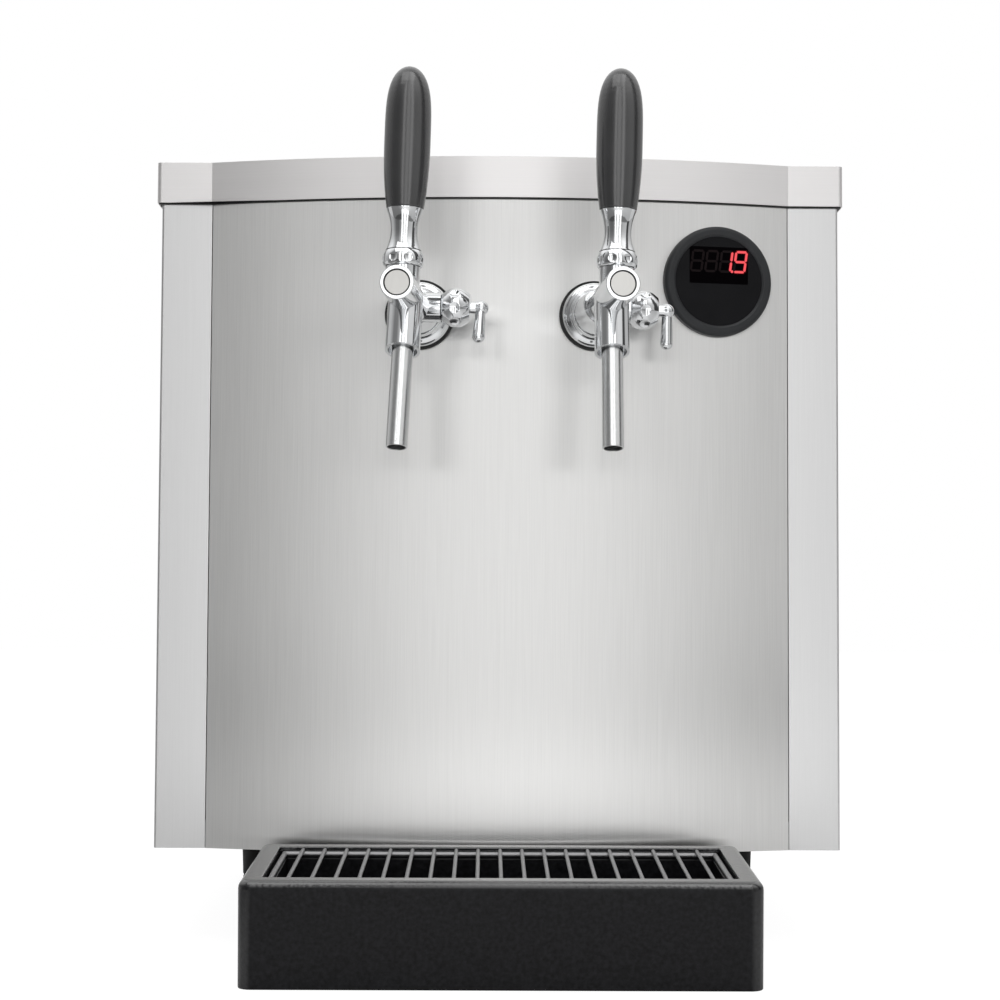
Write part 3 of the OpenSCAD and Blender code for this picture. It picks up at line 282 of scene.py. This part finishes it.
def finish(
    name, colour, metal=0.0, rough=0.4, play=0.08, tint=0.06, grain=EVEN, shine=0.5, brushed=0.0,
    coat=0.0, coat_rough=0.08, coat_ior=1.5, gloss=None, bump=0.0, pits=None, cells=None, glow=None,
):
    """A procedural finish, with a grain that plays on its colour and roughness.

    A bump follows the grain, or finer pits or cells by how often they repeat. A coat can be given a gloss,
    a function that says how much of it each place has.
    """
    material = bpy.data.materials.new(name)
    material.use_nodes = True
    n = Nodes(material.node_tree)
    shader = n.add("BsdfPrincipled")
    place = n.add("TexCoord").outputs["Object"]
    for socket, value in (("Metallic", metal), ("Specular IOR Level", shine), ("Anisotropic", brushed)):
        n.feed(shader.inputs[socket], value)
    if coat:
        for socket, value in (("Weight", coat), ("Roughness", coat_rough), ("IOR", coat_ior)):
            n.feed(shader.inputs["Coat " + socket], value)
    if gloss:
        n.feed(shader.inputs["Coat Weight"], gloss(n, place))
    stretch = n.add("Mapping")
    n.feed(stretch.inputs["Scale"], grain)
    n.feed(stretch.inputs["Vector"], place)
    noise = n.noise(stretch.outputs[0], 1.0, GRAIN_DETAIL)
    darker = tuple(channel * (1.0 - tint) for channel in colour)
    paler = tuple(min(1.0, channel * (1.0 + tint)) for channel in colour)
    n.feed(shader.inputs["Base Color"], n.ramp(noise, tuple(zip(NOISE_RANGE, (darker, paler)))))
    sway = (max(SMOOTHEST, rough - play), min(ROUGHEST, rough + play))
    n.feed(shader.inputs["Roughness"], n.span(noise, NOISE_RANGE, sway))
    if bump:
        height = noise
        if pits:
            height = n.noise(place, pits, PIT_DETAIL)
        if cells:
            height = n.cells(place, cells)
        push = n.add("Bump")
        for socket, value in (("Strength", bump), ("Distance", BUMP_DEPTH), ("Height", height)):
            n.feed(push.inputs[socket], value)
        n.feed(shader.inputs["Normal"], push.outputs[0])
        if coat:
            n.feed(shader.inputs["Coat Normal"], push.outputs[0])
    if glow:
        n.feed(shader.inputs["Emission Color"], (*glow, 1.0))
        n.feed(shader.inputs["Emission Strength"], 1.0)
    n.end("OutputMaterial", shader.outputs[0])
    return material


TRAY_LOW, TRAY_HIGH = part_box("drip_tray")
TRAY_SLOPE = tan(radians(3.0))
# Gloss of the tray's walls, front corners and rim
WALL_GLOSS, CORNER_GLOSS, RIM_GLOSS = 0.03, 0.38, 1.0
# How far under the rim's top its gloss ends and is full
RIM_FADES = (0.0036, 0.0016)
# How far in from the tray's sides the corners' gloss ends and is full, and how far back it goes
CORNER_FADES, CORNER_BACK = (0.0081, 0.0053), 0.0087


def tray_gloss(n, place):
    """A smooth rim and smooth front corners on dull grained walls."""
    at = n.split(place)
    top_at_origin = TRAY_HIGH.z - TRAY_SLOPE * TRAY_HIGH.y
    top = n.math("ADD", n.math("MULTIPLY", at["Y"], TRAY_SLOPE), top_at_origin)
    above = n.math("SUBTRACT", at["Z"], top)
    rim = n.span(above, tuple(-depth for depth in RIM_FADES), (WALL_GLOSS, RIM_GLOSS))
    middle, half = (TRAY_LOW.x + TRAY_HIGH.x) / 2, (TRAY_HIGH.x - TRAY_LOW.x) / 2
    sideways = n.math("ABSOLUTE", n.math("SUBTRACT", at["X"], middle))
    corner = n.span(sideways, tuple(half - depth for depth in CORNER_FADES), (0.0, CORNER_GLOSS))
    ahead = n.math("LESS_THAN", at["Y"], TRAY_LOW.y + CORNER_BACK)
    return n.math("MAXIMUM", rim, n.math("MULTIPLY", corner, ahead))


def sheet_finishes():
    return {
        "front_steel": finish(
            "front_brushed_steel", (0.81, 0.807, 0.796), metal=1.0, rough=0.30, play=0.012, tint=0.032,
            grain=UPRIGHT, bump=0.003, brushed=1.0,
        ),
        "side_steel": finish(
            "side_brushed_steel", (0.74, 0.74, 0.74), metal=1.0, rough=0.32, play=0.02, tint=0.018,
            grain=UPRIGHT, bump=0.004, brushed=0.8,
        ),
        "lid_steel": finish(
            "lid_satin_steel", (0.80, 0.786, 0.782), metal=1.0, rough=0.52, play=0.03, tint=0.015,
            grain=ACROSS, bump=0.005,
        ),
        "galvanised": finish(
            "galvanised_sheet", (0.55, 0.56, 0.57), metal=1.0, rough=0.45, play=0.12, tint=0.18,
            grain=(55.0, 55.0, 55.0),
        ),
        "foot_plastic": finish(
            "foot_black", (0.002, 0.002, 0.002), rough=0.6, tint=0.2, bump=0.1, pits=900.0, shine=0.15,
        ),
        "black_rubber": finish(
            "black_rubber", (0.008, 0.008, 0.008), rough=0.62, tint=0.2, bump=0.1, pits=1400.0,
        ),
        "zinc": finish(
            "zinc_plate", (0.66, 0.66, 0.65), metal=1.0, rough=0.32, tint=0.1, grain=(400.0, 400.0, 400.0),
        ),
    }


def machinery_finishes():
    return {
        "compressor_paint": finish(
            "compressor_enamel", (0.012, 0.012, 0.013), rough=0.28, play=0.06, tint=0.2, coat=0.3,
        ),
        "fin_aluminium": finish("fin_aluminium", (0.74, 0.75, 0.76), metal=1.0, rough=0.38),
        "shroud_steel": finish("shroud_grey", (0.09, 0.09, 0.092), rough=0.5, tint=0.1),
        "motor_black": finish("motor_black", (0.02, 0.02, 0.022), rough=0.48, tint=0.15),
        "block_aluminium": finish(
            "cast_aluminium", (0.68, 0.69, 0.7), metal=1.0, rough=0.5, play=0.1, tint=0.1,
            bump=0.2, pits=500.0,
        ),
        "foam": finish("insulating_foam", (0.7, 0.62, 0.46), rough=0.8, tint=0.12, bump=0.3, pits=300.0),
        "line_steel": finish("line_steel", (0.7, 0.71, 0.72), metal=1.0, rough=0.22, play=0.05, tint=0.05),
        "copper": finish("drawn_copper", (0.72, 0.38, 0.22), metal=1.0, rough=0.28, tint=0.15),
        "brass": finish("turned_brass", (0.74, 0.58, 0.3), metal=1.0, rough=0.26, play=0.06, tint=0.08),
        "mains_plastic": finish("mains_black", (0.016, 0.016, 0.016), rough=0.5, play=0.06, tint=0.15),
        "rocker_red": finish("rocker_red", (0.32, 0.008, 0.008), rough=0.25, play=0.04, tint=0.1, coat=0.3),
    }


def tap_finishes():
    return {
        "chrome": finish(
            "mirror_chrome", (0.74, 0.75, 0.76), metal=1.0, rough=0.07, play=0.02, tint=0.02,
            grain=(120.0, 120.0, 120.0),
        ),
        "plug_steel": finish(
            "plug_satin", (0.62, 0.612, 0.592), metal=1.0, rough=0.40, play=0.06, tint=0.04,
            grain=(260.0, 260.0, 60.0),
        ),
        "spout_steel": finish(
            "spout_polished", (0.74, 0.745, 0.745), metal=1.0, rough=0.24, play=0.03, tint=0.03,
            grain=UPRIGHT,
        ),
        "grip_black": finish(
            "grip_black", (0.034, 0.034, 0.035), rough=0.20, play=0.02, tint=0.08, shine=1.0,
        ),
    }


def tray_finishes():
    return {
        "tray_plastic": finish(
            "tray_grained_black", (0.006, 0.006, 0.007), rough=0.38, play=0.05, tint=0.60,
            grain=(420.0, 420.0, 420.0), bump=0.22, cells=520.0, shine=0.15,
            coat=RIM_GLOSS, coat_rough=0.12, coat_ior=1.85, gloss=tray_gloss,
        ),
        "wire_steel": finish(
            "wire_drawn", (0.33, 0.33, 0.335), metal=1.0, rough=0.46, play=0.06, tint=0.1,
            grain=(300.0, 300.0, 300.0),
        ),
    }


def thermometer_finishes():
    return {
        "bezel_plastic": finish(
            "bezel_black", (0.023, 0.0242, 0.0262), rough=0.44, play=0.05, tint=0.12,
            bump=0.04, pits=1500.0, shine=0.3,
        ),
        "lens_black": finish(
            "lens_smoked", (0.006, 0.006, 0.007), rough=0.22, play=0.03, tint=0.1, shine=0.15,
        ),
        "display_window": finish(
            "display_window", (0.0008, 0.0004, 0.0008), rough=0.3, play=0.03, tint=0.1, shine=0.02,
        ),
        "digit_dim": finish(
            "digit_unlit", (0.0085, 0.0055, 0.006), rough=0.5, play=0.05, tint=0.1, shine=0.05,
        ),
        "digit_halo": finish(
            "digit_halo", (0.01, 0.001, 0.001), rough=0.5, play=0.05, tint=0.1, shine=0.02,
            glow=(0.060, 0.001, 0.003),
        ),
        "digit_lit": finish(
            "digit_lit", (0.10, 0.01, 0.01), rough=0.5, play=0.05, tint=0.1, shine=0.1,
            glow=(0.92, 0.10, 0.115),
        ),
    }


FINISHES = {
    **sheet_finishes(), **machinery_finishes(), **tap_finishes(), **tray_finishes(), **thermometer_finishes(),
}


def dress(piece, material):
    piece.data.materials.clear()
    piece.data.materials.append(material)


def dress_frame():
    for name, piece in NODES.items():
        dress(piece, FINISHES[SLOT_OF[name]])


# Shaping: selecting, copying, breaking edges and placing

SEAM = 0.000004


def only(piece):
    bpy.ops.object.select_all(action="DESELECT")
    piece.select_set(True)
    bpy.context.view_layer.objects.active = piece


def twin(piece, name):
    """A copy of a piece with its own mesh."""
    other = bpy.data.objects.new(name, piece.data.copy())
    bpy.context.scene.collection.objects.link(other)
    return other


def clean_copy(node, flat):
    """A copy of a node with its seams merged, and its faces within an angle in degrees made whole."""
    piece = twin(NODES[node], node + "_fine")
    only(piece)
    bpy.ops.mesh.customdata_custom_splitnormals_clear()
    bpy.ops.object.mode_set(mode="EDIT")
    bpy.ops.mesh.select_all(action="SELECT")
    bpy.ops.mesh.remove_doubles(threshold=SEAM)
    bpy.ops.mesh.dissolve_limited(angle_limit=radians(flat))
    bpy.ops.mesh.normals_make_consistent(inside=False)
    bpy.ops.object.mode_set(mode="OBJECT")
    return piece


def bevel_edges(piece, wanted, width, steps):
    """Rounds the edges whose two ends satisfy a test."""
    only(piece)
    bpy.ops.object.mode_set(mode="EDIT")
    bpy.ops.mesh.select_mode(type="EDGE")
    bpy.ops.mesh.select_all(action="DESELECT")
    bpy.ops.object.mode_set(mode="OBJECT")
    mesh = piece.data
    for edge in mesh.edges:
        first, second = (mesh.vertices[i].co for i in edge.vertices)
        edge.select = wanted(first, second)
    bpy.ops.object.mode_set(mode="EDIT")
    bpy.ops.mesh.bevel(offset=width, segments=steps, profile=0.5, affect="EDGES", clamp_overlap=True)
    bpy.ops.object.mode_set(mode="OBJECT")


def bevel_sharp(piece, width, steps=2, angle=32.0):
    """Rounds every edge that is sharper than an angle in degrees."""
    only(piece)
    bpy.ops.object.modifier_add(type="BEVEL")
    bevel = piece.modifiers[-1]
    bevel.width = width
    bevel.segments = steps
    bevel.limit_method = "ANGLE"
    bevel.angle_limit = radians(angle)
    bevel.use_clamp_overlap = True
    bpy.ops.object.modifier_apply(modifier=bevel.name)


def smooth(piece, angle=34.0):
    """Smooth faces within an angle in degrees, with flat faces kept flat up to their broken edges."""
    only(piece)
    bpy.ops.object.shade_smooth_by_angle(angle=radians(angle))
    bpy.ops.object.modifier_add(type="WEIGHTED_NORMAL")
    weigh = piece.modifiers[-1]
    weigh.keep_sharp = True
    bpy.ops.object.modifier_apply(modifier=weigh.name)


def settle(piece, place):
    """Moves a piece to its place and keeps that in its mesh."""
    piece.matrix_world = place
    only(piece)
    bpy.ops.object.transform_apply(location=True, rotation=True, scale=True)


def joined(pieces, name):
    bpy.ops.object.select_all(action="DESELECT")
    for piece in pieces:
        piece.select_set(True)
    bpy.context.view_layer.objects.active = pieces[0]
    bpy.ops.object.join()
    pieces[0].name = name
    return pieces[0]


def stand_for(piece, node):
    dress(piece, FINISHES[SLOT_OF[node]])
    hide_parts(node)
    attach(piece, BODY_OF[node])


# Cabinet sheets: the rounds of their folds and edges

SHEET_FLAT = 0.2
LID_CORNER, LID_EDGE, PANEL_FOLD = 0.003, 0.0009, 0.0016
FOLD_STEPS, EDGE_STEPS = 4, 3
# How close a point on a face is to it, how long an upright edge is at least, and how far it may lean
NEAR, PLUMB_LEAST, PLUMB_LEAN = 0.0003, 0.01, 0.0002


def plumb(first, second):
    return abs(first.z - second.z) > PLUMB_LEAST and (first - second).xy.length < PLUMB_LEAN


def build_lid():
    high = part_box("lid")[1]

    def corner(first, second):
        return plumb(first, second) and abs(abs(first.x) - high.x) < NEAR

    def top(first, second):
        return min(first.z, second.z) > high.z - NEAR

    lid = clean_copy("lid", SHEET_FLAT)
    bevel_edges(lid, corner, LID_CORNER, FOLD_STEPS)
    bevel_edges(lid, top, LID_EDGE, EDGE_STEPS)
    smooth(lid)
    stand_for(lid, "lid")


def build_side_panel(side):
    node = "side_panel_" + side
    low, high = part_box(node)
    outer = low.x if side == "left" else high.x

    def front_fold(first, second):
        return plumb(first, second) and abs(first.x - outer) < NEAR and first.y < 0.0

    panel = clean_copy(node, SHEET_FLAT)
    bevel_edges(panel, front_fold, PANEL_FOLD, FOLD_STEPS)
    smooth(panel)
    stand_for(panel, node)


# Taps and bezel: turned and cast pieces with their edges broken, by how much

TURNED_FLAT = 0.05
TAP_EDGES = {
    "tap_body": 0.0005, "tap_plug": 0.0002, "spout": 0.0003, "collar_nut": 0.0003, "ferrule": 0.0003,
    "grip": 0.0006, "bonnet": 0.0003, "compensator_lever": 0.0003,
}
PANEL_FITTING_EDGES = {"tap_flanges": 0.0004, "tap_gaskets": 0.0005, "meter_bezel": 0.0003}


def build_fittings():
    edges = {side + "_" + name: width for side in SIDES for name, width in TAP_EDGES.items()}
    edges.update(PANEL_FITTING_EDGES)
    for node, width in edges.items():
        piece = clean_copy(node, TURNED_FLAT)
        bevel_sharp(piece, width)
        smooth(piece)
        stand_for(piece, node)


# Rubber rings in the grooves round the taps' plugs

RING_RADIUS, RING_THICK, RING_SUNK = 0.00765, 0.00090, 0.00005
RING_SIDES, RING_STEPS, RING_SEAM = 14, 56, 0.00001
RING_SMOOTH = 60.0
# A face whose normal has less than this along Y looks to the front
FRONTWARD = -0.9


def plug_face(node):
    """The middle of a plug's face and the way it looks."""
    mesh = NODES[node].data
    way, middle, area = Vector(), Vector(), 0.0
    for face in mesh.polygons:
        if face.normal.y < FRONTWARD:
            way += face.normal * face.area
            middle += face.center * face.area
            area += face.area
    way.normalize()
    middle /= area
    reach = max(vertex.co.dot(way) for vertex in mesh.vertices)
    return middle + way * (reach - middle.dot(way)), way


def spin_ring():
    """A round ring about Z, at the origin."""
    bpy.ops.object.select_all(action="DESELECT")
    bpy.ops.mesh.primitive_circle_add(vertices=RING_SIDES, radius=RING_THICK / 2)
    ring = bpy.context.object
    bpy.ops.object.mode_set(mode="EDIT")
    bpy.ops.mesh.select_all(action="SELECT")
    bpy.ops.transform.rotate(value=radians(90.0), orient_axis="X", center_override=(0.0, 0.0, 0.0))
    bpy.ops.transform.translate(value=(RING_RADIUS, 0.0, 0.0))
    bpy.ops.mesh.spin(steps=RING_STEPS, angle=2 * pi, center=(0.0, 0.0, 0.0), axis=(0.0, 0.0, 1.0))
    bpy.ops.mesh.select_all(action="SELECT")
    bpy.ops.mesh.remove_doubles(threshold=RING_SEAM)
    bpy.ops.mesh.normals_make_consistent(inside=False)
    bpy.ops.object.mode_set(mode="OBJECT")
    return ring


def build_rings():
    pattern = spin_ring()
    for side in SIDES:
        ring = twin(pattern, side + "_plug_ring")
        middle, way = plug_face(side + "_tap_plug")
        turn = way.to_track_quat("Z", "Y").to_matrix().to_4x4()
        settle(ring, Matrix.Translation(middle - way * RING_SUNK) @ turn)
        smooth(ring, RING_SMOOTH)
        dress(ring, FINISHES["black_rubber"])
        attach(ring, "cabinet")
    bpy.data.objects.remove(pattern)


# Drip tray: a rounder outer rim, and its other edges broken

TRAY_CORNER, TRAY_RIM_ROUND, TRAY_RIM_STEPS = 0.008, 0.0017, 4
TRAY_BREAK, TRAY_BREAK_STEPS, TRAY_BREAK_ANGLE = 0.0009, 3, 40.0
# The rim's edges are over this height, and this close to the tray's outline
RIM_LEAST, RIM_NEAR = 0.045, 0.0004


def build_tray():
    middle, half = (TRAY_LOW + TRAY_HIGH) / 2, (TRAY_HIGH - TRAY_LOW) / 2

    def on_rim(point):
        across = max(0.0, abs(point.x - middle.x) - half.x + TRAY_CORNER)
        along = max(0.0, abs(point.y - middle.y) - half.y + TRAY_CORNER)
        return point.z > RIM_LEAST and Vector((across, along)).length > TRAY_CORNER - RIM_NEAR

    def rim(first, second):
        return on_rim(first) and on_rim(second)

    tray = clean_copy("drip_tray", TURNED_FLAT)
    bevel_edges(tray, rim, TRAY_RIM_ROUND, TRAY_RIM_STEPS)
    bevel_sharp(tray, TRAY_BREAK, TRAY_BREAK_STEPS, TRAY_BREAK_ANGLE)
    smooth(tray)
    stand_for(tray, "drip_tray")


# Thermometer display, on the face of the lens

# The panel's bow and its foremost line, the lens's middle, and how far its face stands out of the panel
BOW_RADIUS, BOW_FRONT = 0.72692, -0.174755
METER_X, METER_Z, LENS_OUT = 0.141, 0.430, 0.0048
# The dark window, and how far its middle is over the lens's middle
WINDOW_WIDE, WINDOW_TALL, WINDOW_THICK, WINDOW_SUNK = 0.0395, 0.0240, 0.00012, 0.00004
WINDOW_CORNER, WINDOW_UP = 0.0008, 0.0104
# The digits, and how far their middle is over the lens's middle
DIGIT_TALL, DIGIT_WIDE, DIGIT_STEP, DIGIT_UP = 0.0146, 0.0086, 0.0097, 0.0130
DIGIT_SLANT = radians(8.0)
# The bars of a digit, with a little room between their ends
BAR, BAR_THICK, BAR_OUT = 0.0015, 0.0001, LENS_OUT + 0.00008
BAR_CUT = 0.42 * BAR
FLAT_LONG, TALL_LONG = DIGIT_WIDE - 1.25 * BAR, DIGIT_TALL / 2 - 0.85 * BAR
# The glow round a lit bar; every second one lies a little deeper, so that no two share a face
HALO, HALO_THICK, HALO_DEEPER = 0.0009, 0.00004, 0.00001
# The decimal point
POINT, POINT_CUT = 1.1 * BAR, 0.4 * BAR
POINT_X = 1.02 * DIGIT_STEP - DIGIT_TALL / 2 * sin(DIGIT_SLANT)
POINT_UP = DIGIT_UP - DIGIT_TALL / 2 + 0.6 * BAR
CUT_STEPS, ROUND_STEPS = 1, 3
# Each bar's place in a digit, across in halves of its width and up in quarters of its height
SEGMENTS = {"a": (0, 2), "b": (1, 1), "c": (1, -1), "d": (0, -2), "e": (-1, -1), "f": (-1, 1), "g": (0, 0)}
# The lit bars of each digit
SHOWN = ("", "", "bc", "abcdfg")


def meter_place(x, z, out):
    """A place on the lens with X along its face, Y up and Z out of it."""
    return (
        Matrix.Translation((0.0, BOW_FRONT + BOW_RADIUS, METER_Z))
        @ Matrix.Rotation(asin(METER_X / BOW_RADIUS), 4, "Z")
        @ Matrix.Translation((x, -BOW_RADIUS - out, z))
        @ Matrix.Rotation(radians(90.0), 4, "X")
    )


def plate(name, wide, tall, corner, steps, thick):
    """A flat plate with broken corners, lying in XY and growing along +Z."""
    bpy.ops.object.select_all(action="DESELECT")
    bpy.ops.mesh.primitive_plane_add(size=1.0)
    piece = bpy.context.object
    piece.name = name
    bpy.ops.object.mode_set(mode="EDIT")
    bpy.ops.mesh.select_all(action="SELECT")
    bpy.ops.transform.resize(value=(wide, tall, 1.0))
    bpy.ops.mesh.bevel(offset=corner, segments=steps, affect="VERTICES", clamp_overlap=True)
    bpy.ops.mesh.select_all(action="SELECT")
    bpy.ops.mesh.extrude_region_move(TRANSFORM_OT_translate={"value": (0.0, 0.0, thick)})
    bpy.ops.mesh.select_all(action="SELECT")
    bpy.ops.mesh.normals_make_consistent(inside=False)
    bpy.ops.object.mode_set(mode="OBJECT")
    return piece


def build_window():
    window = plate("display_window", WINDOW_WIDE, WINDOW_TALL, WINDOW_CORNER, ROUND_STEPS, WINDOW_THICK)
    settle(window, meter_place(0.0, WINDOW_UP, LENS_OUT - WINDOW_SUNK))
    dress(window, FINISHES["display_window"])
    return window


def build_digits():
    """All bars of the digits: the lit ones with the point, the unlit ones, and the glow of the lit ones."""
    flat_bar = plate("flat_bar", FLAT_LONG, BAR, BAR_CUT, CUT_STEPS, BAR_THICK)
    tall_bar = plate("tall_bar", BAR, TALL_LONG, BAR_CUT, CUT_STEPS, BAR_THICK)
    flat_halo = plate("flat_halo", FLAT_LONG + HALO, BAR + HALO, BAR_CUT, ROUND_STEPS, HALO_THICK)
    tall_halo = plate("tall_halo", BAR + HALO, TALL_LONG + HALO, BAR_CUT, ROUND_STEPS, HALO_THICK)
    lit, dim, halo = [], [], []
    for index, shown in enumerate(SHOWN):
        centre = (index - (len(SHOWN) - 1) / 2) * DIGIT_STEP
        for letter, (across, up) in SEGMENTS.items():
            z = up * (DIGIT_TALL - BAR) / 4
            x = centre + across * (DIGIT_WIDE - BAR) / 2 + z * sin(DIGIT_SLANT)
            lean = Matrix.Rotation(-DIGIT_SLANT if across else 0.0, 4, "Z")
            bar = twin(tall_bar if across else flat_bar, "digit_bar")
            settle(bar, meter_place(x, DIGIT_UP + z, BAR_OUT) @ lean)
            (lit if letter in shown else dim).append(bar)
            if letter in shown:
                back = twin(tall_halo if across else flat_halo, "digit_glow")
                deeper = HALO_DEEPER * (len(halo) % 2)
                settle(back, meter_place(x, DIGIT_UP + z, BAR_OUT - deeper) @ lean)
                halo.append(back)
    point = plate("decimal_point", POINT, POINT, POINT_CUT, ROUND_STEPS, BAR_THICK)
    settle(point, meter_place(POINT_X, POINT_UP, BAR_OUT))
    lit.append(point)
    for pattern in (flat_bar, tall_bar, flat_halo, tall_halo):
        bpy.data.objects.remove(pattern)
    return lit, dim, halo


def build_display():
    pieces = [build_window()]
    lit, dim, halo = build_digits()
    for bars, name, look in (
        (lit, "digits_lit", "digit_lit"),
        (dim, "digits_unlit", "digit_dim"),
        (halo, "digits_halo", "digit_halo"),
    ):
        piece = joined(bars, name)
        dress(piece, FINISHES[look])
        pieces.append(piece)
    for piece in pieces:
        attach(piece, "cabinet")


bpy.context.scene.view_settings.view_transform = "Standard"
place_camera()
build_world()
build_lamps()
build_floor()
dress_frame()
build_lid()
for panel_side in SIDES:
    build_side_panel(panel_side)
build_fittings()
build_rings()
build_tray()
build_display()
